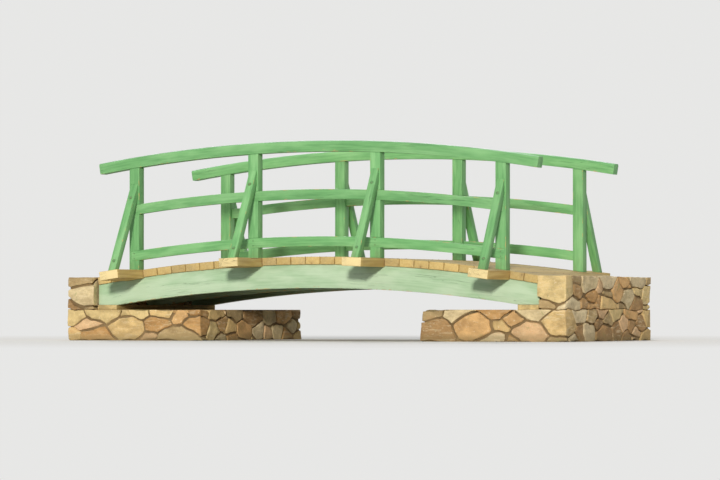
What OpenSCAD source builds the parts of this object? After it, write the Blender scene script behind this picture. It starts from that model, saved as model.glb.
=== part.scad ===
// Arched timber garden footbridge on two rubble stone abutments.
// X runs along the bridge, Y across it (front is -Y) and Z up. The origin is on the
// ground or water line, under the middle of the bridge. All sizes are in millimetres.

/* [Arch] */
// Radius of the curve that the stringers and all the rails share
arch_r = 13500; // [10000:100:20000]
// Top of the deck above the ground or water line, at the crown
deck_crown_z = 765; // [700:5:1000]

/* [Bays] */
// Distance from post to post along the bridge
bay = 1220; // [1000:10:1400]
// Stringers and deck beyond the middle of the last post
end_run = 370; // [300:5:450]
// Handrail beyond the middle of the last post
handrail_run = 360; // [200:5:450]

/* [Deck] */
// Distance across the bridge between the middles of the two rows of posts
post_line = 1920; // [1400:10:2400]
// Widest that a deck plank may be
plank_w = 145; // [100:1:200]
// Thickness of the deck planks
plank_t = 70; // [50:1:90]
// Open joint between two planks
plank_gap = 7; // [4:1:12]
// Plank ends beyond the face of the outer stringers
plank_nosing = 20; // [5:1:40]

/* [Transoms] */
// Width of a transom, the long cross timber under each pair of posts
transom_w = 190; // [140:5:240]
// How deep a transom is let into the top of the stringers
transom_cog = 10; // [5:1:25]
// Transom beyond the middle of the brace's foot
transom_toe = 105; // [70:5:160]

/* [Stringers] */
// Depth of a stringer
stringer_h = 215; // [160:5:280]
// Thickness of a stringer
stringer_t = 90; // [60:5:120]
// Length of the level seat cut under each stringer end
seat_run = 200; // [140:5:260]

/* [Posts and braces] */
// Side of the square posts
post_s = 100; // [80:1:120]
// Side of the square braces
brace_s = 70; // [50:1:80]
// Middle of the post to the middle of the brace's foot
brace_run = 465; // [380:5:560]
// Deck to where the middle of the brace meets the post
brace_rise = 735; // [710:5:850]

/* [Rails] */
// Deck to the top of the handrail
handrail_top = 1055; // [980:5:1150]
// Height of the handrail's section
handrail_h = 100; // [70:1:120]
// Width of the handrail's section
handrail_w = 116; // [100:1:150]
// Radius of the handrail's rounded upper edges
handrail_round = 24; // [8:1:34]
// Deck to the middle of the middle rail
mid_rail_z = 568; // [500:2:600]
// Deck to the middle of the low rail
low_rail_z = 140; // [110:2:200]
// Height of the middle and low rails
rail_h = 90; // [60:1:110]
// Thickness of the middle and low rails, which are let flush into the outer face of the posts
rail_t = 52; // [35:1:65]
// Middle and low rails beyond the middle of the last post, where their housing stops
rail_lap = 28; // [10:1:35]

/* [Joints] */
// Thickness of the stub tenons at both ends of a post
tenon_t = 38; // [25:1:45]
// Width of the stub tenons at both ends of a post
tenon_w = 64; // [40:1:75]
// Length of the tenon on a post's foot, which stands in the transom
foot_tenon = 48; // [20:1:60]
// Length of the tenon on a post's head, which holds the handrail
head_tenon = 42; // [20:1:55]
// How deep a brace is let into the transom and the post
brace_let = 12; // [5:1:18]

/* [Abutments] */
// Clear width of the opening between the two abutments, at the ground or water line
opening_w = 2160; // [1800:10:2800]
// Thickness of the timber wall plate under the stringer ends
plate_t = 45; // [30:1:70]
// How far the abutment's front face leans back from foot to top
batter = 24; // [5:1:60]
// Abutment beyond the face of the outer stringers
shelf_side = 95; // [50:5:200]
// Thickness of the back wall that closes the stringer ends
back_wall_t = 280; // [200:5:400]
// Gap between the stringer ends and the back wall
end_gap = 12; // [5:1:30]

/* [Hidden] */

// Clearance of a housed joint
fit = 0.3;
// Facets of a full circle of the arch, which is a large one
arch_fn = 1440;
$fn = 48;

bays = 3;
posts = bays + 1;
front = -1;
back = 1;
paint = "mediumseagreen";
faded_paint = "darkseagreen";
bare_wood = "burlywood";
stone = "tan";

deck_r = arch_r + plank_t;
arch_zc = deck_crown_z - deck_r;
stringer_half = bays / 2 * bay + end_run;
post_face = post_line / 2 + post_s / 2;
transom_t = plank_t + transom_cog;
transom_half = post_line / 2 + brace_run + transom_toe;
rail_half = bays / 2 * bay + rail_lap;
handrail_half = bays / 2 * bay + handrail_run;
handrail_mid = handrail_top - handrail_h / 2;
seat_z = arch_zc + sqrt(pow(arch_r - stringer_h, 2) - pow(stringer_half - seat_run, 2));
shelf_z = seat_z - plate_t;
back_wall_x = stringer_half + end_gap;
back_wall_z = arch_zc + sqrt(pow(deck_r, 2) - pow(stringer_half, 2));
abutment_half = post_face + shelf_side;

// Middle of post number i along the bridge, counted from 1 at the left
function post_x(i) = (i - 1 - bays / 2) * bay;
// Angle on the arch of the point of the deck's top that is x from the crown
function arch_angle(x) = asin(x / deck_r);
// Length along the top of the stringers to that angle
function arc_length(angle) = arch_r * angle * PI / 180;
// Height of the transom's top at the middle of post i
function transom_z(i) = arch_zc + sqrt(pow(deck_r, 2) - pow(post_x(i), 2));
// Height of the middle of a rail at the middle of post i
function rail_z(z_mid, i) = deck_crown_z + z_mid - arch_r + sqrt(pow(arch_r, 2) - pow(post_x(i), 2));

// Puts children on the deck's top at an angle on the arch, with local Z pointing out of the arch
module on_arch(angle) {
    translate([0, 0, arch_zc]) rotate([0, angle, 0]) translate([0, 0, deck_r]) children();
}

// Puts children on the middle of a rail at post i, with local X along the rail
module on_rail(z_mid, i) {
    translate([0, 0, deck_crown_z + z_mid - arch_r])
        rotate([0, asin(post_x(i) / arch_r), 0]) translate([0, 0, arch_r]) children();
}

// Sweeps a rail's section along its curve, as far as half on both sides of the crown
module sweep_rail(y_mid, z_mid, half) {
    reach = asin(half / arch_r);
    translate([0, y_mid, deck_crown_z + z_mid - arch_r])
        rotate([90, 0, 0]) rotate([0, 0, 90 - reach])
            rotate_extrude(angle = 2 * reach, $fn = arch_fn) translate([arch_r, 0]) children();
}

// Extrudes an XZ outline along Y, from y0 over a thickness t
module across(y0, t) {
    translate([0, y0 + t, 0]) rotate([90, 0, 0]) linear_extrude(t) children();
}

// Everything deeper than depth under the top of the transom at post i, as far as a post or brace could reach
module under_transom_top(i, depth = 0) {
    reach = transom_half + transom_w;
    on_arch(arch_angle(post_x(i)))
        translate([-bay / 2, -reach, -depth - deck_crown_z]) cube([bay, 2 * reach, deck_crown_z]);
}

// Everything over the underside of the handrail at post i
module over_post_head(i) {
    reach = post_line;
    on_rail(handrail_mid, i)
        translate([-bay / 2, -reach, -handrail_h / 2 - fit]) cube([bay, 2 * reach, handrail_top]);
}

// Plumb bar whose two ends are the stub tenons of a post, and with a clearance their mortises
module tenon_bar(side, i, clear = 0) {
    low = transom_z(i) - foot_tenon - clear;
    high = rail_z(handrail_mid, i) - handrail_h / 2 + head_tenon + clear;
    translate([post_x(i) - tenon_t / 2 - clear, side * post_line / 2 - tenon_w / 2 - clear, low])
        cube([tenon_t + 2 * clear, tenon_w + 2 * clear, high - low]);
}

// Raking bar from under the transom's top to inside the post, and with a clearance its housings
module brace_bar(side, i, clear = 0) {
    lean = atan2(brace_run - post_s / 2, brace_rise);
    half = (brace_s / 2 + clear) / cos(lean);
    low = brace_rise / 4;
    drift = low * tan(lean);
    let_in = brace_let + clear;
    rise = brace_rise + let_in / tan(lean);
    difference() {
        translate([post_x(i) - brace_s / 2 - clear, side * post_line / 2, transom_z(i)])
            rotate([90, 0, 90]) linear_extrude(brace_s + 2 * clear) scale([side, 1]) polygon([
                [brace_run + drift - half, -low],
                [brace_run + drift + half, -low],
                [post_s / 2 - let_in, rise + half / tan(lean)],
                [post_s / 2 - let_in, rise - half / tan(lean)]
            ]);
        under_transom_top(i, let_in);
    }
}

// Square-edged box of the transom at post i, widened on both sides by a clearance
module transom_box(i, clear = 0) {
    on_arch(arch_angle(post_x(i)))
        translate([-transom_w / 2 - clear, -transom_half, -transom_t])
            cube([transom_w + 2 * clear, 2 * transom_half, transom_t]);
}

// Transom with a mortise for each post and a sloping housing for each brace
module transom(i) {
    color(bare_wood) difference() {
        transom_box(i);
        for (side = [front, back]) {
            tenon_bar(side, i, fit);
            brace_bar(side, i, fit);
        }
    }
}

// Curved beam with plumb ends and a level seat under each, notched for the transoms
module stringer(y_mid) {
    color(faded_paint) difference() {
        across(y_mid - stringer_t / 2, stringer_t) intersection() {
            translate([0, arch_zc]) difference() {
                circle(r = arch_r, $fn = arch_fn);
                circle(r = arch_r - stringer_h, $fn = arch_fn);
            }
            translate([-stringer_half, seat_z]) square([2 * stringer_half, deck_crown_z]);
        }
        for (i = [1 : posts]) transom_box(i, fit);
    }
}

// Planks that fill the arc from angle a0 to angle a1, with an open joint at every edge
module planks(a0, a1, joint_before = true, joint_after = true) {
    run = arc_length(a1) - arc_length(a0);
    count = ceil((run - plank_gap) / (plank_w + plank_gap));
    joints = count - 1 + (joint_before ? 1 : 0) + (joint_after ? 1 : 0);
    width = (run - joints * plank_gap) / count;
    first = arc_length(a0) + (joint_before ? plank_gap : 0) + width / 2;
    half = post_face + plank_nosing;
    color(bare_wood) for (k = [0 : count - 1]) {
        angle = (first + k * (width + plank_gap)) / arch_r * 180 / PI;
        on_arch(angle) translate([-width / 2, -half, -plank_t]) cube([width, 2 * half, plank_t]);
    }
}

// Half of the angle that a transom takes on the arch
transom_angle = transom_w / 2 / arch_r * 180 / PI;

module deck_bay(k) {
    planks(arch_angle(post_x(k)) + transom_angle, arch_angle(post_x(k + 1)) - transom_angle);
}

module deck_end_right() {
    planks(arch_angle(post_x(posts)) + transom_angle, arch_angle(stringer_half), true, false);
}

module deck_end_left() {
    mirror([1, 0, 0]) deck_end_right();
}

// Curved rail let into the outer face of a row of posts
module rail(side, z_mid) {
    color(paint) sweep_rail(side * (post_face - rail_t / 2), z_mid, rail_half)
        translate([-rail_h / 2, -rail_t / 2]) square([rail_h, rail_t]);
}

// Housing that a rail needs in post i, open at the post's outer face and stopped in the last post
module rail_housing(side, z_mid, i) {
    from = i == 1 ? -rail_lap - fit : -post_s;
    to = i == posts ? rail_lap + fit : post_s;
    scale([1, side, 1]) on_rail(z_mid, i)
        translate([from, post_face - rail_t - fit, -rail_h / 2 - fit])
            cube([to - from, rail_t + post_s, rail_h + 2 * fit]);
}

// Handrail section with rounded upper edges: X is up and Y is across
module handrail_section() {
    flat = handrail_w - 2 * handrail_round;
    translate([-handrail_h / 2, -handrail_w / 2]) square([handrail_h - handrail_round, handrail_w]);
    translate([-handrail_h / 2, -flat / 2]) square([handrail_h, flat]);
    for (s = [-1, 1]) translate([handrail_h / 2 - handrail_round, s * flat / 2]) circle(r = handrail_round);
}

// Handrail with a stopped mortise in its underside for the head of each post
module handrail(side) {
    color(paint) difference() {
        sweep_rail(side * post_line / 2, handrail_mid, handrail_half) handrail_section();
        for (i = [1 : posts]) tenon_bar(side, i, fit);
    }
}

// Plumb post: its shoulders are cut to the slope of the transom and of the handrail, round a stub tenon each
module post(side, i) {
    color(paint) difference() {
        translate([post_x(i) - post_s / 2, side * post_line / 2 - post_s / 2, 0])
            cube([post_s, post_s, deck_crown_z + handrail_top]);
        difference() {
            under_transom_top(i);
            tenon_bar(side, i);
        }
        difference() {
            over_post_head(i);
            tenon_bar(side, i);
        }
        rail_housing(side, mid_rail_z, i);
        rail_housing(side, low_rail_z, i);
        brace_bar(side, i, fit);
    }
}

// Raking brace, let into the top of the transom's end and into the outer face of the post
module brace(side, i) {
    color(paint) brace_bar(side, i);
}

module wall_plate(side) {
    color(bare_wood) scale([side, 1, 1])
        translate([stringer_half - seat_run, -post_face - plank_nosing, shelf_z])
            cube([seat_run, 2 * (post_face + plank_nosing), plate_t]);
}

// Rubble stone mass: a bearing shelf with a leaning front face, and a back wall up to the deck
module abutment(side) {
    foot = opening_w / 2;
    color(stone) scale([side, 1, 1]) across(-abutment_half, 2 * abutment_half) polygon([
        [foot, 0],
        [back_wall_x + back_wall_t, 0],
        [back_wall_x + back_wall_t, back_wall_z],
        [back_wall_x, back_wall_z],
        [back_wall_x, shelf_z],
        [foot + batter, shelf_z]
    ]);
}

abutment(-1);  // abutment_left
abutment(1);  // abutment_right
wall_plate(-1);  // wall_plate_left
wall_plate(1);  // wall_plate_right
stringer(-post_face + stringer_t / 2);  // stringer_front
stringer(0);  // stringer_middle
stringer(post_face - stringer_t / 2);  // stringer_back
transom(1);  // transom_1
transom(2);  // transom_2
transom(3);  // transom_3
transom(4);  // transom_4
deck_end_left();
deck_bay(1);  // deck_bay_1
deck_bay(2);  // deck_bay_2
deck_bay(3);  // deck_bay_3
deck_end_right();
post(front, 1);  // post_front_1
post(front, 2);  // post_front_2
post(front, 3);  // post_front_3
post(front, 4);  // post_front_4
post(back, 1);  // post_back_1
post(back, 2);  // post_back_2
post(back, 3);  // post_back_3
post(back, 4);  // post_back_4
brace(front, 1);  // brace_front_1
brace(front, 2);  // brace_front_2
brace(front, 3);  // brace_front_3
brace(front, 4);  // brace_front_4
brace(back, 1);  // brace_back_1
brace(back, 2);  // brace_back_2
brace(back, 3);  // brace_back_3
brace(back, 4);  // brace_back_4
handrail(front);  // handrail_front
handrail(back);  // handrail_back
rail(front, mid_rail_z);  // mid_rail_front
rail(back, mid_rail_z);  // mid_rail_back
rail(front, low_rail_z);  // low_rail_front
rail(back, low_rail_z);  // low_rail_back
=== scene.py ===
"""Looks of the arched garden footbridge: weathered timber, rubble stone, bolts, floor, light and camera.

Lengths are in metres, in the CAD model's frame: X along the bridge, Y across it, Z up from the floor.
"""

import math
import random
from types import SimpleNamespace

import bmesh
import bpy
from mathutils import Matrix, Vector, noise


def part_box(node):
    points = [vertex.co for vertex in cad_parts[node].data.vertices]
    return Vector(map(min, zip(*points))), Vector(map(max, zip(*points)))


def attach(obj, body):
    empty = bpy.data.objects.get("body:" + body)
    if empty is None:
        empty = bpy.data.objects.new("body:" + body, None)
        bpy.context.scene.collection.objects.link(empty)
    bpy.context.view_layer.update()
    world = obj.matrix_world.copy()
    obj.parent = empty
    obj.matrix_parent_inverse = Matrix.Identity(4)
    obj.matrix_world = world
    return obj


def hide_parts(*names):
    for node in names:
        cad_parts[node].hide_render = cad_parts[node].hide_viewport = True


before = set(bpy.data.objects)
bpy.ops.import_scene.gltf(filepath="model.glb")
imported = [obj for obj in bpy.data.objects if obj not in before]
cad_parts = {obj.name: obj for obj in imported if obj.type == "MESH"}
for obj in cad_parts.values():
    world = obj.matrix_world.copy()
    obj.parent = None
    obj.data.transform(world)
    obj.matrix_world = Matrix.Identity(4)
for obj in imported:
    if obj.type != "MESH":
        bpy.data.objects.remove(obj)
noise.seed_set(11)
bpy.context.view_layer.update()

# Sizes of the CAD model that the grain, bolts, nails and stones follow.
DECK_TOP = 0.765                # top of the deck at the crown
ARCH_R = 13.5                   # radius of the rails and of the stringers' tops
DECK_R = 13.57                  # radius of the deck's top
ARCH_Z = DECK_TOP - DECK_R      # height of the centre about which deck and stringers turn
BAY = 1.22                      # from post to post
POSTS = range(1, 5)
POST_HALF = 0.05                # half a post's width
RAIL_Y = 0.96                   # middle of the posts and handrail
INFILL_Y = 0.984                # middle of the mid and low rails
HANDRAIL_RISE, MID_RISE, LOW_RISE = 1.005, 0.568, 0.140     # middles of the rails above the deck
BRACE_RUN, BRACE_RISE = 0.465, 0.735                        # out from the post's middle, and up it
BRACE_HALF = 0.035              # half a brace's width
STRINGER_Y = 0.965              # middle of the outer stringers
STRINGER_HALF = 0.1075          # half a stringer's depth
PLANK_HALF = 0.035              # half a plank's thickness
DECK = ("deck_end_left", "deck_bay_1", "deck_bay_2", "deck_bay_3", "deck_end_right")
FOOT_X, WALL_X, BACK_X = 1.08, 2.212, 2.492     # abutment: waterway face, face of the back wall, back
ABUTMENT_HALF, WALL_TOP = 1.105, 0.5854         # half its width, top of its back wall
LEAN = 0.024                    # how far its waterway face leans back at the shelf

X_AXIS, Y_AXIS, Z_AXIS = Vector((1, 0, 0)), Vector((0, 1, 0)), Vector((0, 0, 1))


# ---------------------------------------------------------------- colours and nodes
def srgb(r, g, b):
    """A colour of 0 to 255 a channel as Blender's linear one."""
    return tuple((c / 255 / 12.92) if c <= 10 else ((c / 255 + 0.055) / 1.055) ** 2.4 for c in (r, g, b))


COLOUR = {name: srgb(*rgb) for name, rgb in {
    "bare_dark": (158, 122, 70), "bare_mid": (199, 169, 102), "bare_pale": (216, 191, 127),
    "silvered": (176, 162, 129), "knot": (112, 76, 44), "split": (76, 54, 32),
    "sawn": (240, 224, 170), "sawn_ring": (204, 170, 110),
    "splash_and_shade": (112, 122, 78), "trodden": (150, 132, 100), "damp_wood": (122, 104, 70),
    "shade": (205, 200, 192), "light": (255, 253, 248), "vein": (242, 226, 190), "iron": (176, 118, 72),
    "speck": (104, 84, 62), "grit": (246, 236, 208), "damp_stone": (128, 114, 78), "lichen": (146, 146, 96),
    "mortar_dark": (120, 100, 70), "mortar_pale": (152, 130, 94), "mortar_grit": (72, 58, 42),
    "steel": (128, 130, 126), "painted_steel": (92, 150, 96), "rust": (122, 78, 48),
}.items()}
STONES = [srgb(*rgb) for rgb in (
    (242, 218, 160), (234, 204, 146), (220, 180, 126), (202, 160, 106), (236, 200, 156), (230, 212, 170),
    (196, 172, 128), (246, 228, 188), (180, 146, 102))]
BACKDROP = (0.80, 0.80, 0.79)
FLOOR_SHOWN, FLOOR_BOUNCE = (0.80, 0.79, 0.77), (0.50, 0.495, 0.48)     # to the camera, and to the object


class Nodes:
    """Short calls that add nodes to an emptied tree and link them."""

    def __init__(self, tree):
        self.tree = tree
        tree.nodes.clear()

    def put(self, socket, value):
        """Links an output to the socket, or gives it a constant."""
        if isinstance(value, bpy.types.NodeSocket):
            self.tree.links.new(value, socket)
        elif socket.type == "RGBA":
            socket.default_value = (*value, 1)
        else:
            socket.default_value = value

    def node(self, kind, inputs=(), **props):
        """A node with its inputs given in order, or by name or number in a dict."""
        made = self.tree.nodes.new(kind)
        for key, value in props.items():
            setattr(made, key, value)
        for key, value in inputs.items() if isinstance(inputs, dict) else enumerate(inputs):
            if value is not None:
                self.put(made.inputs[key], value)
        return made

    def place(self):
        """The place in the CAD model's frame, because every object sits at its origin."""
        return self.node("ShaderNodeTexCoord").outputs["Object"]

    def attr(self, name):
        return self.node("ShaderNodeAttribute", attribute_name=name).outputs["Vector"]

    def split(self, a):
        return self.node("ShaderNodeSeparateXYZ", (a,)).outputs

    def join(self, x, y, z):
        return self.node("ShaderNodeCombineXYZ", (x, y, z)).outputs[0]

    def vec(self, op, a, b):
        return self.node("ShaderNodeVectorMath", (a, b), operation=op).outputs[0]

    def num(self, op, a, b=None, c=None):
        return self.node("ShaderNodeMath", (a, b, c), operation=op).outputs[0]

    def times(self, first, *others):
        """The product of all."""
        for other in others:
            first = self.num("MULTIPLY", first, other)
        return first

    def add(self, base, more, share=1.0):
        """base plus a share of more."""
        return self.num("MULTIPLY_ADD", more, share, base)

    def step(self, x, low, high, to_low=0.0, to_high=1.0):
        """Goes smoothly from to_low to to_high while x goes from low to high."""
        inputs = (x, low, high, to_low, to_high)
        return self.node("ShaderNodeMapRange", inputs, interpolation_type="SMOOTHSTEP").outputs[0]

    def fade(self, x, low, high):
        """Goes smoothly from 1 to 0 while x goes from low to high."""
        return self.step(x, low, high, 1.0, 0.0)

    def noise(self, at, rates, detail=4.0, rough=0.55, distort=0.0):
        """Noise with a rate of its own along each axis."""
        inputs = {"Vector": self.vec("MULTIPLY", at, rates), "Scale": 1.0, "Detail": detail,
                  "Roughness": rough, "Distortion": distort}
        return self.node("ShaderNodeTexNoise", inputs).outputs[0]

    def lines(self, field, width):
        """Thin lines, where a noise crosses its middle."""
        return self.fade(self.num("ABSOLUTE", self.num("SUBTRACT", field, 0.5)), 0.0, width)

    def mix(self, factor, a, b, blend="MIX"):
        inputs = {0: factor, 6: a, 7: b}
        return self.node("ShaderNodeMix", inputs, data_type="RGBA", blend_type=blend).outputs[2]

    def over(self, under, top, *amounts):
        """One colour over another, as far as the product of the amounts."""
        return self.mix(self.times(*amounts), under, top)

    def facing_up(self):
        """1 on faces that look up: where rain and feet reach from above, and where painted timber gets its
        painted sky light.
        """
        normal = self.node("ShaderNodeNewGeometry").outputs["Normal"]
        return self.step(self.split(normal)[2], 0.55, 0.85)

    def showing(self):
        """1 for the rays that show the background: the camera's, and those in gloss and through glass."""
        rays = self.node("ShaderNodeLightPath").outputs
        seen = self.num("MAXIMUM", rays["Is Camera Ray"], rays["Is Glossy Ray"])
        return self.num("MAXIMUM", seen, rays["Is Transmission Ray"])


class Shader(Nodes):
    """A material with one Principled BSDF."""

    def __init__(self, name, specular):
        self.mat = bpy.data.materials.new(name)
        self.mat.use_nodes = True
        super().__init__(self.mat.node_tree)
        self.bsdf = self.node("ShaderNodeBsdfPrincipled")
        self.bsdf.inputs["Specular IOR Level"].default_value = specular
        self.node("ShaderNodeOutputMaterial", {"Surface": self.bsdf.outputs[0]})

    def finish(self, colour, rough, height, depth):
        """Sets colour, roughness and a bump of this depth, and returns the material."""
        bump = self.node("ShaderNodeBump", {"Height": height, "Distance": depth, "Strength": 1.0})
        for key, value in (("Base Color", colour), ("Roughness", rough), ("Normal", bump.outputs[0])):
            self.put(self.bsdf.inputs[key], value)
        return self.mat


# ---------------------------------------------------------------- materials
def wood_fields(s):
    """Fibre, growth rings, knots and splits from a timber's own coordinates, with the nearness of an arris.

    The mesh carries grain, the place along and across the timber; sect, half its width and depth and a
    number of its own; and butt, which is above 0 on end faces that show their end grain.
    """
    grain = s.attr("grain")
    half_v, half_w, seed = s.split(s.attr("sect"))
    _, v, w = s.split(grain)
    butt = s.split(s.attr("butt"))[0]
    at = s.vec("ADD", grain, s.vec("MULTIPLY", s.join(seed, seed, seed), (31.7, 12.3, 7.9)))
    arris = s.num("MAXIMUM", s.num("SUBTRACT", half_v, s.num("ABSOLUTE", v)),
                  s.num("SUBTRACT", half_w, s.num("ABSOLUTE", w)))

    knots = s.node("ShaderNodeTexVoronoi", {"Vector": s.vec("MULTIPLY", at, (1.5, 9, 9)), "Scale": 1.0,
                                            "Randomness": 1.0}).outputs["Distance"]
    near_knot = s.fade(knots, 0.08, 0.34)

    # Rings turn about a heart that lies off the timber's middle, and bend round the knots.
    off_v = s.add(v, s.num("SINE", s.times(seed, 5.0)), 0.07)
    off_w = s.add(w, s.num("COSINE", s.times(seed, 7.0)), 0.05)
    radius = s.num("SQRT", s.add(s.times(off_v, off_v), off_w, off_w))
    radius = s.add(radius, s.noise(at, (0.8, 5, 5), 2), 0.035)
    radius = s.add(radius, near_knot, 0.016)
    rings = s.add(0.5, s.num("SINE", s.times(radius, 780.0)), 0.5)

    # Splits run along the timber, and from the heart outward on its end faces.
    patchy = s.noise(at, (1.1, 5, 5), 3)
    splits = s.times(s.lines(s.noise(at, (1.3, 34, 34), 2, 0.5), 0.011), s.step(patchy, 0.5, 0.62))
    turn = s.times(s.num("ARCTAN2", off_w, off_v), 14.0)
    spokes = s.lines(s.noise(s.join(turn, seed, s.times(radius, 3.0)), (1, 1, 1), 2), 0.02)
    splits = s.mix(butt, splits, s.times(spokes, s.step(patchy, 0.4, 0.6)))
    return SimpleNamespace(
        at=at, seed=seed, arris=arris, low=s.add(half_w, w), butt=butt, rings=rings, splits=splits,
        patchy=patchy, knot=s.fade(knots, 0.06, 0.13), near_knot=near_knot,
        fibre=s.noise(at, (3.5, 60, 60), 5), fine=s.noise(at, (12, 300, 300), 3),
        chips=s.noise(at, (16, 60, 60), 4))


def bare_colour(s, f):
    """Unpainted timber: golden tan with darker rings, fibres and knots, and silvered where rain lies."""
    colour = s.mix(s.step(f.fibre, 0.3, 0.7), COLOUR["bare_mid"], COLOUR["bare_pale"])
    colour = s.over(colour, COLOUR["bare_dark"], f.rings, 0.42)
    colour = s.over(colour, COLOUR["bare_dark"], f.near_knot, 0.45)
    colour = s.over(colour, COLOUR["knot"], f.knot, 0.8)
    colour = s.over(colour, COLOUR["silvered"], s.add(s.step(f.patchy, 0.42, 0.68), s.facing_up()), 0.3)
    sawn = s.over(COLOUR["sawn"], COLOUR["sawn_ring"], f.rings, 0.55)
    return s.over(s.mix(f.butt, colour, sawn), COLOUR["split"], f.splits, 0.8)


def timber_height(s, f, ring_depth):
    """Relief of fibres, rings, knots and splits, for the bump."""
    height = s.times(f.fine, 0.2)
    for field, depth in ((f.fibre, 0.5), (f.rings, ring_depth), (f.knot, 0.25), (f.splits, -1.0)):
        height = s.add(height, field, depth)
    return height


def above_deck(s):
    """Height above the deck's curved top."""
    x, _, z = s.split(s.place())
    return s.add(s.num("SUBTRACT", z, DECK_TOP), s.times(x, x), 0.5 / DECK_R)


def toned(s, colour, seed, swing, level):
    """Makes each timber a little lighter or darker than the next."""
    tone = s.add(level, s.num("SINE", s.times(seed, 91.0)), swing)
    return s.mix(1.0, colour, s.join(tone, tone, tone), "MULTIPLY")


def painted_timber(name, dark, mid, pale, top, bleach, wear, low_wear=0.0):
    """Weathered paint over timber: streaky, pale in patches, chipped, paler and bluer on top faces as partly
    bleached paint and partly painted sky light, and darker olive near the deck as partly splashed dirt and
    partly painted shade.

    bleach is how pale the patches are, wear how much is rubbed off the arrises, and low_wear how much
    is gone along the lower edge.
    """
    s = Shader(name, specular=0.35)
    f = wood_fields(s)
    colour = s.mix(s.step(f.fibre, 0.28, 0.66, 0.2, 0.86), dark, mid)
    broad = s.noise(f.at, (2.2, 9, 9), 3)
    colour = s.over(colour, pale, s.step(broad, 0.40, 0.68), bleach)
    # Top faces turn paler and bluer: partly bleached paint, partly painted sky light falling on them.
    colour = s.over(colour, top, s.facing_up(), 0.6)
    colour = s.over(colour, dark, f.near_knot, 0.18)
    colour = toned(s, colour, f.seed, 0.05, 0.99)
    # Patchy olive darkening near the deck's level: partly splashed dirt, partly painted shade where the
    # timbers meet the deck.
    near_deck = s.fade(s.num("ABSOLUTE", above_deck(s)), 0.0, 0.16)
    blotch = s.noise(f.at, (7, 22, 22), 4)
    colour = s.over(colour, COLOUR["splash_and_shade"], near_deck, s.step(blotch, 0.36, 0.62), 0.3375)
    rubbed = s.times(s.fade(f.arris, 0.0, 0.011), s.step(s.noise(f.at, (5, 3, 3), 2), 0.44, 0.6))
    worn = s.add(s.add(f.chips, rubbed, wear), s.step(f.patchy, 0.45, 0.7), 0.07)
    if low_wear:
        worn = s.add(worn, s.fade(f.low, 0.0, 0.05), low_wear)
    chipped = s.step(worn, 0.77, 0.81)
    colour = s.over(colour, bare_colour(s, f), chipped, 0.8)
    colour = s.over(colour, tuple(c * 0.4 for c in dark), f.splits, 0.6)
    rough = s.add(s.add(0.48, broad, 0.2), chipped, 0.25)
    return s.finish(colour, rough, s.add(timber_height(s, f, 0.08), chipped, -0.5), 0.0012)


def bare_timber(name):
    """Unpainted timber, trodden grey on top, damp and darker near the ground."""
    s = Shader(name, specular=0.25)
    f = wood_fields(s)
    colour = toned(s, bare_colour(s, f), f.seed, 0.10, 0.97)
    colour = s.over(colour, COLOUR["bare_pale"], s.fade(f.arris, 0.0, 0.01), f.chips, 0.4)
    blotch = s.noise(f.at, (5, 14, 14), 4)
    colour = s.over(colour, COLOUR["trodden"], s.facing_up(), s.step(blotch, 0.46, 0.7), 0.35)
    low_down = s.fade(s.split(s.place())[2], 0.25, 0.5)
    colour = s.over(colour, COLOUR["damp_wood"], low_down, s.step(blotch, 0.35, 0.6), 0.5)
    return s.finish(colour, s.add(0.75, blotch, 0.2), timber_height(s, f, 0.2), 0.0016)


def rubble_stone(name):
    """Clouded sandstone in each stone's own colour, some of it veined or rusty, damp at the foot.

    The mesh carries tone, the stone's colour; and kind, a number of its own and how veined and rusty
    it is.
    """
    s = Shader(name, specular=0.3)
    place = s.place()
    seed, veined, rusty = s.split(s.attr("kind"))
    at = s.vec("ADD", place, s.vec("MULTIPLY", s.join(seed, seed, seed), (7.1, 3.3, 5.7)))
    cloud = s.noise(at, (8, 8, 12), 6, 0.62)
    band = s.noise(at, (9, 9, 46), 4, 0.6, 0.6)
    speck = s.noise(at, (170, 170, 170), 3, 0.65)
    grit = s.noise(at, (55, 55, 55), 4, 0.6)
    lichen = s.noise(place, (11, 11, 11), 5, 0.7)
    shade = s.mix(s.step(cloud, 0.3, 0.7), COLOUR["shade"], COLOUR["light"])
    colour = s.mix(1.0, s.attr("tone"), shade, "MULTIPLY")
    colour = s.over(colour, COLOUR["vein"], s.step(band, 0.5, 0.66), veined, 0.55)
    colour = s.over(colour, COLOUR["iron"], s.step(cloud, 0.52, 0.72), rusty, 0.45)
    colour = s.over(colour, COLOUR["speck"], s.step(speck, 0.56, 0.72), 0.5)
    colour = s.over(colour, COLOUR["grit"], s.step(grit, 0.6, 0.74), 0.45)
    low_down = s.fade(s.split(place)[2], 0.0, 0.10)
    colour = s.over(colour, COLOUR["damp_stone"], low_down, s.step(cloud, 0.3, 0.55), 0.7)
    colour = s.over(colour, COLOUR["lichen"], s.step(lichen, 0.6, 0.68), 0.45)
    relief = s.add(s.add(s.add(cloud, band, 0.3), grit, 0.45), speck, 0.2)
    return s.finish(colour, 0.88, relief, 0.011)


def joint_mortar(name):
    """Earthy mortar with dark grit."""
    s = Shader(name, specular=0.2)
    at = s.place()
    grit = s.noise(at, (220, 220, 220), 3, 0.7)
    cloud = s.noise(at, (6, 6, 6), 3)
    colour = s.mix(s.step(cloud, 0.3, 0.7), COLOUR["mortar_dark"], COLOUR["mortar_pale"])
    colour = s.over(colour, COLOUR["mortar_grit"], s.step(grit, 0.5, 0.8), 0.5)
    return s.finish(colour, 0.95, s.add(grit, cloud), 0.004)


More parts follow.
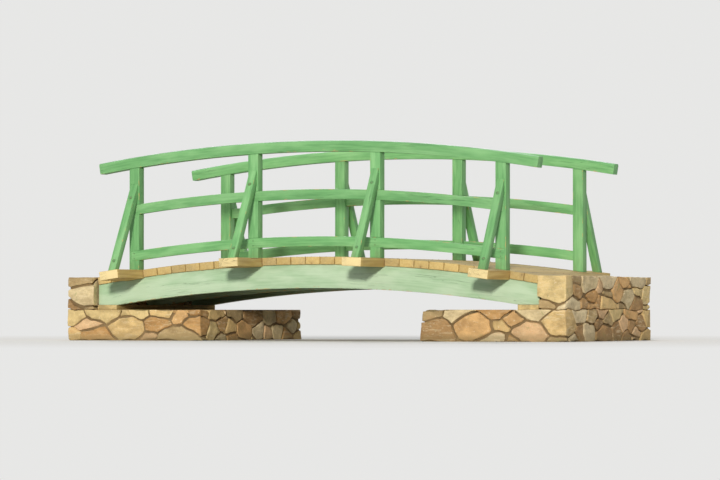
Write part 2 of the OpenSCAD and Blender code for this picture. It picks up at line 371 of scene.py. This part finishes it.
def fixing_steel(name, clean, metallic, rust_from):
    """Bolt or nail heads, clean or painted over, with rust coming through in spots."""
    s = Shader(name, specular=0.5)
    blot = s.noise(s.place(), (190, 190, 190), 4, 0.6)
    rust = s.step(blot, rust_from, rust_from + 0.1)
    if metallic:
        s.put(s.bsdf.inputs["Metallic"], s.step(rust, 0.0, 1.0, metallic, 0.1))
    return s.finish(s.mix(rust, clean, COLOUR["rust"]), s.step(rust, 0.0, 1.0, 0.5, 0.85), blot, 0.0006)


FINISH = {
    # top is the paler, bluer colour of top faces: partly bleached paint, partly painted sky light.
    "green_paint": painted_timber(
        "green_paint", dark=srgb(88, 148, 90), mid=srgb(122, 183, 118), pale=srgb(153, 206, 145),
        top=srgb(136, 190, 143), bleach=0.5, wear=0.25),
    "faded_paint": painted_timber(
        "faded_paint", dark=srgb(150, 184, 145), mid=srgb(175, 203, 169), pale=srgb(196, 216, 189),
        top=srgb(186, 202, 178), bleach=0.6, wear=0.24, low_wear=0.13),
    "bare_timber": bare_timber("bare_timber"),
    "rubble_stone": rubble_stone("rubble_stone"),
}
mortar = joint_mortar("mortar")
nail_steel = fixing_steel("nail_steel", COLOUR["steel"], 0.75, 0.46)
painted_steel = fixing_steel("painted_steel", COLOUR["painted_steel"], 0.0, 0.52)


# ---------------------------------------------------------------- mesh tools
def vector_layers(bm, names):
    return [bm.verts.layers.float_vector.new(name) for name in names]


def set_layers(vert, layers, values):
    for layer, value in zip(layers, values):
        vert[layer] = value


def middle(verts):
    return sum((q.co for q in verts), Vector()) / len(verts)


def everything(bm):
    return bm.verts[:] + bm.edges[:] + bm.faces[:]


def add_box(bm, low, high):
    for q in bmesh.ops.create_cube(bm, size=1)["verts"]:
        q.co = Vector(low[k] if q.co[k] < 0 else high[k] for k in range(3))


def mirror(bm, sign):
    """Turns what was made for the +X end into the other end's, if sign is below 0."""
    if sign < 0:
        for q in bm.verts:
            q.co.x = -q.co.x
        bmesh.ops.reverse_faces(bm, faces=bm.faces)


def islands(bm):
    """The vertices of each separate solid, in the mesh's own order."""
    left, found = set(bm.verts), []
    while left:
        stack, group = [left.pop()], set()
        while stack:
            vert = stack.pop()
            group.add(vert)
            for edge in vert.link_edges:
                other = edge.other_vert(vert)
                if other in left:
                    left.discard(other)
                    stack.append(other)
        found.append(sorted(group, key=lambda q: q.index))
    return sorted(found, key=lambda g: g[0].index)


def solid_of(node):
    """A copy of a CAD node's mesh, welded, with each flat face in one piece."""
    bm = bmesh.new()
    bm.from_mesh(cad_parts[node].data)
    bmesh.ops.remove_doubles(bm, verts=bm.verts, dist=2e-5)
    bmesh.ops.dissolve_limit(bm, angle_limit=math.radians(0.05), verts=bm.verts, edges=bm.edges)
    bm.verts.index_update()
    return bm


def thinned(piece, share):
    """The piece's mesh with this share of its triangles, fewest where it is flattest."""
    piece.modifiers.new("thin", "DECIMATE").ratio = share
    mesh = bpy.data.meshes.new_from_object(piece.evaluated_get(bpy.context.evaluated_depsgraph_get()))
    piece.modifiers.clear()
    clean = bmesh.new()
    clean.from_mesh(mesh)
    bmesh.ops.dissolve_degenerate(clean, dist=2e-4, edges=clean.edges)
    clean.to_mesh(mesh)
    clean.free()
    return mesh


def piece_from(bm, name, slot, *nodes, material=None, smooth=35, most=None):
    """Makes a finished piece of a mesh in work, in place of CAD nodes if any are named.

    smooth is the angle, in degrees, from which an edge stays sharp, and most the number of triangles
    down to which the mesh is thinned.
    """
    mesh = bpy.data.meshes.new(name)
    bm.to_mesh(mesh)
    bm.free()
    piece = bpy.data.objects.new(name, mesh)
    bpy.context.collection.objects.link(piece)
    count = sum(len(face.vertices) - 2 for face in mesh.polygons)
    if most and count > most:
        piece.data = thinned(piece, most / count)
        bpy.data.meshes.remove(mesh)
        mesh = piece.data
        mesh.name = name
    mesh.materials.append(material or FINISH[slot])
    mesh.shade_smooth()
    mesh.set_sharp_from_angle(angle=math.radians(smooth))
    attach(piece, "root")
    if nodes:
        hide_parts(*nodes)


# ---------------------------------------------------------------- timbers
TIMBER_LAYERS = ("grain", "sect", "butt")
CONVEX = 0.4            # least turn of an edge that is eased, in radians
UNEVEN = 0.0009         # how far a timber's faces wander
WANDER_RATE = 2.1       # how often, per metre
END_FACE = 6e-4         # a vertex this near a timber's end lies on its end face


def post_x(i):
    """Where post i stands along the bridge, counted from the left."""
    return (i - 2.5) * BAY


def arch_axes(x):
    """Along the deck and square to it, where it is x from the crown."""
    a = math.asin(x / DECK_R)
    return Vector((math.cos(a), 0, -math.sin(a))), Vector((math.sin(a), 0, math.cos(a)))


def brace_line(x, sign):
    """A brace's foot at the end of its transom, its direction up, and the normal of its outer face."""
    lean = math.atan2(BRACE_RUN - POST_HALF, BRACE_RISE)
    foot = Vector((x, sign * (RAIL_Y + BRACE_RUN), ARCH_Z + math.sqrt(DECK_R ** 2 - x ** 2)))
    return (foot, Vector((0, -sign * math.sin(lean), math.cos(lean))),
            Vector((0, sign * math.cos(lean), math.sin(lean))))


def along(origin, u, v, w):
    """Coordinates of a straight timber: along its length, and across it in two directions."""
    return lambda p: (u.dot(p - origin), v.dot(p - origin), w.dot(p - origin))


def along_arch(zc, r, y):
    """Coordinates of a curved timber: arc length from the crown, across, and outward from its middle."""
    return lambda p: (math.atan2(p.x, p.z - zc) * r, p.y - y, math.hypot(p.x, p.z - zc) - r)


def across_bridge(centre):
    """Coordinates of a timber that lies across the bridge, square to the arch."""
    return along(centre, Y_AXIS, *arch_axes(centre.x))


def axis_of(mapped):
    """Direction in which a straight timber's first coordinate grows."""
    base = mapped(Vector())[0]
    return Vector([mapped(d)[0] - base for d in (X_AXIS, Y_AXIS, Z_AXIS)]).normalized()


def dress(node, slot, coords=None, curved=False, arris=0.004, pitch=0.06, loosen=0.0, sawn=0.0):
    """A copy of a CAD timber with eased arrises, slightly uneven faces and its own grain coordinates.

    Without coords, each of the node's solids lies across the bridge. arris is the width of the eased
    edges, pitch the length of a slice, loosen how far planks stray out of line, and sawn how far the
    end faces show pale, freshly cut end grain.
    """
    whole = solid_of(node)
    out = bmesh.new()
    vector_layers(out, TIMBER_LAYERS)
    for part, group in enumerate(islands(whole)):
        rng = random.Random(f"{node} {part}")
        mapped = coords or across_bridge(middle(group))
        wanted = {q.index for q in group}
        bm = whole.copy()
        bmesh.ops.delete(bm, geom=[q for q in bm.verts if q.index not in wanted], context="VERTS")
        edges = [e for e in bm.edges
                 if len(e.link_faces) == 2 and e.is_convex and e.calc_face_angle() > CONVEX]
        bmesh.ops.bevel(bm, geom=edges, offset=arris, segments=2, profile=0.55, affect="EDGES",
                        clamp_overlap=True)
        at = [mapped(q.co) for q in bm.verts]
        low, high = min(a[0] for a in at), max(a[0] for a in at)
        half_v, half_w = max(abs(a[1]) for a in at), max(abs(a[2]) for a in at)
        slices = max(2, round((high - low) / pitch))
        direction = X_AXIS if curved else axis_of(mapped)
        base = middle(bm.verts)
        for i in range(1, slices):
            plane = base + direction * (low + (high - low) * i / slices - mapped(base)[0])
            bmesh.ops.bisect_plane(bm, geom=everything(bm), plane_co=plane, plane_no=direction)
        seed = rng.uniform(0.5, 9.5)
        shift = Vector((0, rng.uniform(-loosen, loosen), rng.uniform(-loosen, loosen) * 0.15))
        layers = vector_layers(bm, TIMBER_LAYERS)
        for q in bm.verts:
            a = mapped(q.co)
            cut = sawn if min(a[0] - low, high - a[0]) < END_FACE else 0.0
            set_layers(q, layers, (a, (half_v, half_w, seed), (cut, cut, cut)))
            wander = Vector(noise.noise((a[0] * WANDER_RATE, seed, row)) for row in (1.5, 4.5, 8.5))
            q.co += shift + wander * UNEVEN
        chunk = bpy.data.meshes.new("chunk")
        bm.to_mesh(chunk)
        bm.free()
        out.from_mesh(chunk)
        bpy.data.meshes.remove(chunk)
    whole.free()
    piece_from(out, f"{node}_dressed", slot, node)


RAILS = (("handrail", HANDRAIL_RISE, RAIL_Y, 0.004), ("mid_rail", MID_RISE, INFILL_Y, 0.003),
         ("low_rail", LOW_RISE, INFILL_Y, 0.003))
for side, sign in (("front", -1), ("back", 1)):
    for name, rise, y, arris in RAILS:
        dress(f"{name}_{side}", "green_paint", along_arch(DECK_TOP + rise - ARCH_R, ARCH_R, sign * y),
              curved=True, arris=arris)
    for i in POSTS:
        post_foot = Vector((post_x(i), sign * RAIL_Y, 0))
        dress(f"post_{side}_{i}", "green_paint", along(post_foot, Z_AXIS, X_AXIS, Y_AXIS), arris=0.003)
        foot, up, _ = brace_line(post_x(i), sign)
        dress(f"brace_{side}_{i}", "green_paint", along(foot, up, X_AXIS, up.cross(X_AXIS)), arris=0.003)
for name, y in (("front", -STRINGER_Y), ("middle", 0.0), ("back", STRINGER_Y)):
    dress(f"stringer_{name}", "faded_paint", along_arch(ARCH_Z, ARCH_R - STRINGER_HALF, y), curved=True)
for i in POSTS:
    dress(f"transom_{i}", "bare_timber", sawn=1.0)
for name in DECK:
    dress(name, "bare_timber", pitch=0.1, loosen=0.004, sawn=0.15)
for name in ("wall_plate_left", "wall_plate_right"):
    dress(name, "bare_timber", sawn=0.5)


# ---------------------------------------------------------------- rubble stone
STONE_LAYERS = ("tone", "kind")
SQUASH = Vector((1, 1, 1.75))       # stones are that much wider than high
NEIGHBOURS = 30                     # nearest centres that a stone is cut against
JOINT = 0.013                       # most that a stone stays back from the middle of its joint
SKIN = 0.05                         # depth of the rough skin, and of the faces that are set back
SET_BACK = 0.010                    # how far these faces are set back
RELIEF = ((6, 0.026), (17, 0.010), (45, 0.0036))    # rate and depth of the roughness
LEAN_REACH = 0.5                    # how far in from the waterway face the lean dies out
BED = 0.006                         # joint between the bearing block and the back wall
BLOCK_SIZES = ((0.19, 300), (0.125, 1500), (0.085, 2500))       # radius of stones, and tries to place one
WALL_SIZES = ((0.17, 100), (0.12, 500), (0.085, 700))
MORTAR_INSET = 0.030                # how far the mortar lies behind the faces of the stones
MOST_TRIANGLES = 170000             # of the stones of one abutment


def scatter(rng, low, high, sizes):
    """Stone centres with a radius each: big ones first, small ones in what is left."""
    got = []
    for radius, tries in sizes:
        for _ in range(tries):
            r = radius * rng.uniform(0.82, 1.18)
            p = Vector(rng.uniform(low[k], high[k]) for k in range(3))
            if all(((p - q) * SQUASH).length > (r + t) * 0.86 for q, t in got):
                got.append((p, r))
    return got


def cells(rng, seeds, low, high):
    """Convex stones round weighted centres inside a box, with uneven joints between them."""
    made = []
    for i, (p, r) in enumerate(seeds):
        bm = bmesh.new()
        add_box(bm, low, high)
        others = seeds[:i] + seeds[i + 1:]
        others.sort(key=lambda pair: ((pair[0] - p) * SQUASH).length - pair[1])
        for other, t in others[:NEIGHBOURS]:
            d = (other - p) * SQUASH
            share = 0.5 + (r * r - t * t) / (2 * d.length_squared)
            normal = (d * SQUASH).normalized()
            place = p + (other - p) * share - normal * JOINT * rng.uniform(0.3, 1.0)
            geom = everything(bm)
            if not geom:
                break
            cut = bmesh.ops.bisect_plane(bm, geom=geom, plane_co=place, plane_no=normal, clear_outer=True)
            rim = [e for e in cut["geom_cut"] if isinstance(e, bmesh.types.BMEdge)]
            if rim:
                bmesh.ops.contextual_create(bm, geom=rim)
        made.append(bm)
    return made


def add_stone(out, bm, rng):
    """Rounds a stone's edges, gives it a colour and marks of its own, and adds it to the others."""
    bmesh.ops.remove_doubles(bm, verts=bm.verts, dist=0.006)
    edges = [e for e in bm.edges if len(e.link_faces) == 2]
    bmesh.ops.bevel(bm, geom=edges, offset=rng.uniform(0.013, 0.028), segments=2, profile=0.55,
                    affect="EDGES", clamp_overlap=True)
    level = rng.uniform(0.86, 1.14)
    own = Vector(rng.choice(STONES))
    own *= min(level, 0.84 / max(own))
    mark = Vector((rng.uniform(0, 9), rng.random() ** 2, rng.random() ** 2))
    layers = vector_layers(bm, STONE_LAYERS)
    for q in bm.verts:
        set_layers(q, layers, (own, mark))
    chunk = bpy.data.meshes.new("chunk")
    bm.to_mesh(chunk)
    bm.free()
    holder = bpy.data.objects.new("holder", chunk)
    bpy.context.collection.objects.link(holder)
    for name, kind in (("cuts", "SIMPLE"), ("soft", "CATMULL_CLARK")):
        finer = holder.modifiers.new(name, "SUBSURF")
        finer.subdivision_type = kind
        finer.levels = finer.render_levels = 1
    out.from_mesh(holder.evaluated_get(bpy.context.evaluated_depsgraph_get()).to_mesh())
    bpy.data.objects.remove(holder)
    bpy.data.meshes.remove(chunk)


def lean_at(p, shelf):
    """How far the waterway face leans back at the height of p, less and less further in."""
    if p.z > shelf + 0.01:
        return 0.0
    return LEAN * max(0.0, 1 - (p.x - FOOT_X) / LEAN_REACH) * p.z / shelf


def weather(out, sign, shelf):
    """Roughens the stones near the outer faces, sets these faces back, and keeps all inside the CAD's."""
    for q in out.verts:
        p = q.co.copy()
        roof = shelf if p.x < WALL_X else WALL_TOP
        inside = min(p.x - (FOOT_X if p.z < shelf else WALL_X), BACK_X - p.x, ABUTMENT_HALF - abs(p.y),
                     p.z, roof - p.z)
        rough = min(max(1.8 - inside / SKIN, 0.0), 1.0)
        if rough > 0:
            for rate, depth in RELIEF:
                q.co += Vector(noise.noise_vector(p * rate + Vector((sign * 5, 0, 0)))) * depth * rough
        outward = ((p.x > BACK_X - SKIN) - (p.x < FOOT_X + SKIN),
                   (p.y > ABUTMENT_HALF - SKIN) - (p.y < SKIN - ABUTMENT_HALF))
        for n, way in enumerate(outward):
            if way:
                q.co[n] = p[n] + (q.co[n] - p[n]) * 0.5 - way * SET_BACK
        q.co.x = min(max(q.co.x + lean_at(p, shelf), FOOT_X), BACK_X)
        q.co.y = min(max(q.co.y, -ABUTMENT_HALF), ABUTMENT_HALF)
        q.co.z = min(max(q.co.z, 0.0), shelf if p.x < WALL_X - 0.005 else WALL_TOP)


def build_stones(side, sign, shelf):
    """Those stones of the bearing block, and of the back wall on its shelf, that reach an outer face."""
    out = bmesh.new()
    vector_layers(out, STONE_LAYERS)
    rng = random.Random(f"stones {side}")
    blocks = (((FOOT_X, -ABUTMENT_HALF, 0), (BACK_X, ABUTMENT_HALF, shelf), BLOCK_SIZES),
              ((WALL_X, -ABUTMENT_HALF, shelf + BED), (BACK_X, ABUTMENT_HALF, WALL_TOP), WALL_SIZES))
    for low, high, sizes in blocks:
        faces = [(n, low[n]) for n in range(2)] + [(n, high[n]) for n in range(3)]
        for bm in cells(rng, scatter(rng, low, high, sizes), low, high):
            outer = any(abs(q.co[n] - face) < 1e-4 for q in bm.verts for n, face in faces)
            if outer and len(bm.verts) >= 4:
                add_stone(out, bm, rng)
            else:
                bm.free()
    weather(out, sign, shelf)
    mirror(out, sign)
    piece_from(out, f"rubble_{side}", "rubble_stone", f"abutment_{side}", smooth=50, most=MOST_TRIANGLES)


def build_mortar(side, sign, shelf):
    """A core inside the stones, which shows in their joints."""
    core = bmesh.new()
    outer, step = ABUTMENT_HALF - MORTAR_INSET, shelf - MORTAR_INSET
    add_box(core, (FOOT_X + MORTAR_INSET, -outer, 0), (BACK_X - MORTAR_INSET, outer, step))
    add_box(core, (WALL_X + MORTAR_INSET, -outer, step),
            (BACK_X - MORTAR_INSET, outer, WALL_TOP - MORTAR_INSET))
    bmesh.ops.subdivide_edges(core, edges=core.edges, cuts=6, use_grid_fill=True)
    for q in core.verts:
        q.co += Vector((lean_at(q.co, shelf), noise.noise(q.co * 20) * 0.002, 0))
    mirror(core, sign)
    piece_from(core, f"mortar_{side}", "rubble_stone", material=mortar)


for side, sign in (("left", -1), ("right", 1)):
    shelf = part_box(f"wall_plate_{side}")[0].z
    build_stones(side, sign, shelf)
    build_mortar(side, sign, shelf)


# ---------------------------------------------------------------- bolts and nails
DOME = ((0.2, 0.97), (0.38, 0.8), (0.5, 0.5), (0.53, 0.2))     # height and radius, as shares of the head's
SUNK = 0.001            # how far heads and washers are let in, and the height of a washer's bevel
WASHER = 0.003          # thickness of a washer
BOLT, RAIL_BOLT, NAIL = 0.011, 0.0065, 0.0045       # radii of the heads
BRACE_END = 0.085       # from a brace's end to its bolt
RAIL_BOLTS = (-0.022, 0.022)            # heights from a rail's middle, at each post
NAIL_ROWS = (-STRINGER_Y, 0, STRINGER_Y)        # over each stringer
NAIL_PAIR = (-0.042, 0.042)             # from a plank's middle


def lathe(bm, profile, origin, axis, count=12):
    """Turns (height, radius) points about an axis and closes both ends."""
    side = axis.orthogonal().normalized()
    other = axis.cross(side)
    rings = []
    for height, radius in profile:
        centre = origin + axis * height
        rings.append([bm.verts.new(centre + (side * math.cos(t) + other * math.sin(t)) * radius)
                      for t in (2 * math.pi * n / count for n in range(count))])
    for lower, upper in zip(rings, rings[1:]):
        for n in range(count):
            bm.faces.new((lower[n], lower[(n + 1) % count], upper[(n + 1) % count], upper[n]))
    bm.faces.new(rings[-1])
    bm.faces.new(rings[0][::-1])


def add_head(bm, origin, axis, radius, washer=0.0):
    """A domed head, on a flat washer of this thickness if there is one."""
    if washer:
        lathe(bm, [(-SUNK, radius * 1.5), (washer - SUNK, radius * 1.5), (washer, radius * 1.42),
                   (washer, radius * 0.9)], origin, axis)
    lathe(bm, [(washer - SUNK, radius)] + [(washer + radius * h, radius * r) for h, r in DOME], origin, axis)


bolts = bmesh.new()
for sign in (-1, 1):
    for x in map(post_x, POSTS):
        foot, up, face = brace_line(x, sign)
        length = math.hypot(BRACE_RUN - POST_HALF, BRACE_RISE)
        for reach in (length - BRACE_END, BRACE_END):
            add_head(bolts, foot + up * reach + face * BRACE_HALF, face, BOLT, WASHER)
        for rise in (MID_RISE, LOW_RISE):
            z = DECK_TOP + rise - ARCH_R + math.sqrt(ARCH_R ** 2 - x ** 2)
            for dz in RAIL_BOLTS:
                add_head(bolts, Vector((x, sign * (RAIL_Y + POST_HALF), z + dz)), Y_AXIS * sign, RAIL_BOLT)
piece_from(bolts, "coach_bolts", "green_paint", material=painted_steel, smooth=50)

nails = bmesh.new()
for name in DECK:
    planks = solid_of(name)
    for centre in map(middle, islands(planks)):
        tangent, normal = arch_axes(centre.x)
        for y in NAIL_ROWS:
            for reach in NAIL_PAIR:
                at = Vector((centre.x, y, centre.z)) + tangent * reach + normal * (PLANK_HALF + 0.0002)
                add_head(nails, at, normal, NAIL)
    planks.free()
piece_from(nails, "deck_nails", "bare_timber", material=nail_steel, smooth=50)


# ---------------------------------------------------------------- floor, light and camera
FADE_FROM, FADE_TO = 3.0, 9.0       # where the floor turns into the backdrop


def pale_floor(name):
    """A matt floor that shows paler than the light it gives back, and ends in the backdrop's colour."""
    mat = bpy.data.materials.new(name)
    mat.use_nodes = True
    s = Nodes(mat.node_tree)
    showing = s.showing()
    colour = s.mix(showing, FLOOR_BOUNCE, FLOOR_SHOWN)
    diffuse = s.node("ShaderNodeBsdfDiffuse", {"Color": colour}).outputs[0]
    glow = s.node("ShaderNodeEmission", {"Color": BACKDROP}).outputs[0]
    distance = s.node("ShaderNodeVectorMath", (s.place(),), operation="LENGTH").outputs["Value"]
    far = s.times(s.step(distance, FADE_FROM, FADE_TO), showing)
    blend = s.node("ShaderNodeMixShader", (far, diffuse, glow)).outputs[0]
    s.node("ShaderNodeOutputMaterial", {"Surface": blend})
    return mat


FLOOR_REACH = 400.0         # half the floor's width
corners = [(x * FLOOR_REACH, y * FLOOR_REACH, 0) for x, y in ((-1, -1), (1, -1), (1, 1), (-1, 1))]
floor_mesh = bpy.data.meshes.new("floor")
floor_mesh.from_pydata(corners, [], [(0, 1, 2, 3)])
floor_mesh.materials.append(pale_floor("pale_floor"))
floor = bpy.data.objects.new("floor", floor_mesh)
bpy.context.collection.objects.link(floor)

world = bpy.data.worlds.new("studio")
bpy.context.scene.world = world
world.use_nodes = True
sky = Nodes(world.node_tree)
ambient = sky.node("ShaderNodeBackground", {"Color": (0.97, 0.98, 1.0), "Strength": 0.30}).outputs[0]
backdrop = sky.node("ShaderNodeBackground", {"Color": BACKDROP}).outputs[0]
both = sky.node("ShaderNodeMixShader", (sky.showing(), ambient, backdrop)).outputs[0]
sky.node("ShaderNodeOutputWorld", {"Surface": both})


def sun(name, azimuth, elevation, strength, softness, colour):
    """A sun lamp that shines from an azimuth (0 is in front, at -Y) and an elevation, in degrees."""
    data = bpy.data.lights.new(name, "SUN")
    data.energy, data.angle, data.color = strength, math.radians(softness), colour
    lamp = bpy.data.objects.new(name, data)
    bpy.context.collection.objects.link(lamp)
    a, e = math.radians(azimuth), math.radians(elevation)
    towards = Vector((math.sin(a) * math.cos(e), -math.cos(a) * math.cos(e), math.sin(e)))
    lamp.rotation_mode = "QUATERNION"
    lamp.rotation_quaternion = towards.to_track_quat("Z", "Y")


sun("key", 18.5, 12.7, 2.75, 5, (1.0, 0.95, 0.865))
sun("rim", 205, 38, 1.25, 16, (0.95, 0.97, 1.0))
sun("top", 300, 78, 0.6, 50, (1.0, 0.99, 0.97))

camera_data = bpy.data.cameras.new("camera")
camera_data.lens = 195
camera_data.sensor_width = 36
camera_data.clip_start, camera_data.clip_end = 0.5, 1000
camera = bpy.data.objects.new("camera", camera_data)
bpy.context.collection.objects.link(camera)
camera.location = (14.835, -33.145, 0.275)
camera.rotation_mode = "QUATERNION"
camera.rotation_quaternion = (camera.location - Vector((0.01, 0.0, 0.933))).to_track_quat("Z", "Y")
bpy.context.scene.camera = camera
bpy.context.scene.view_settings.view_transform = "Standard"
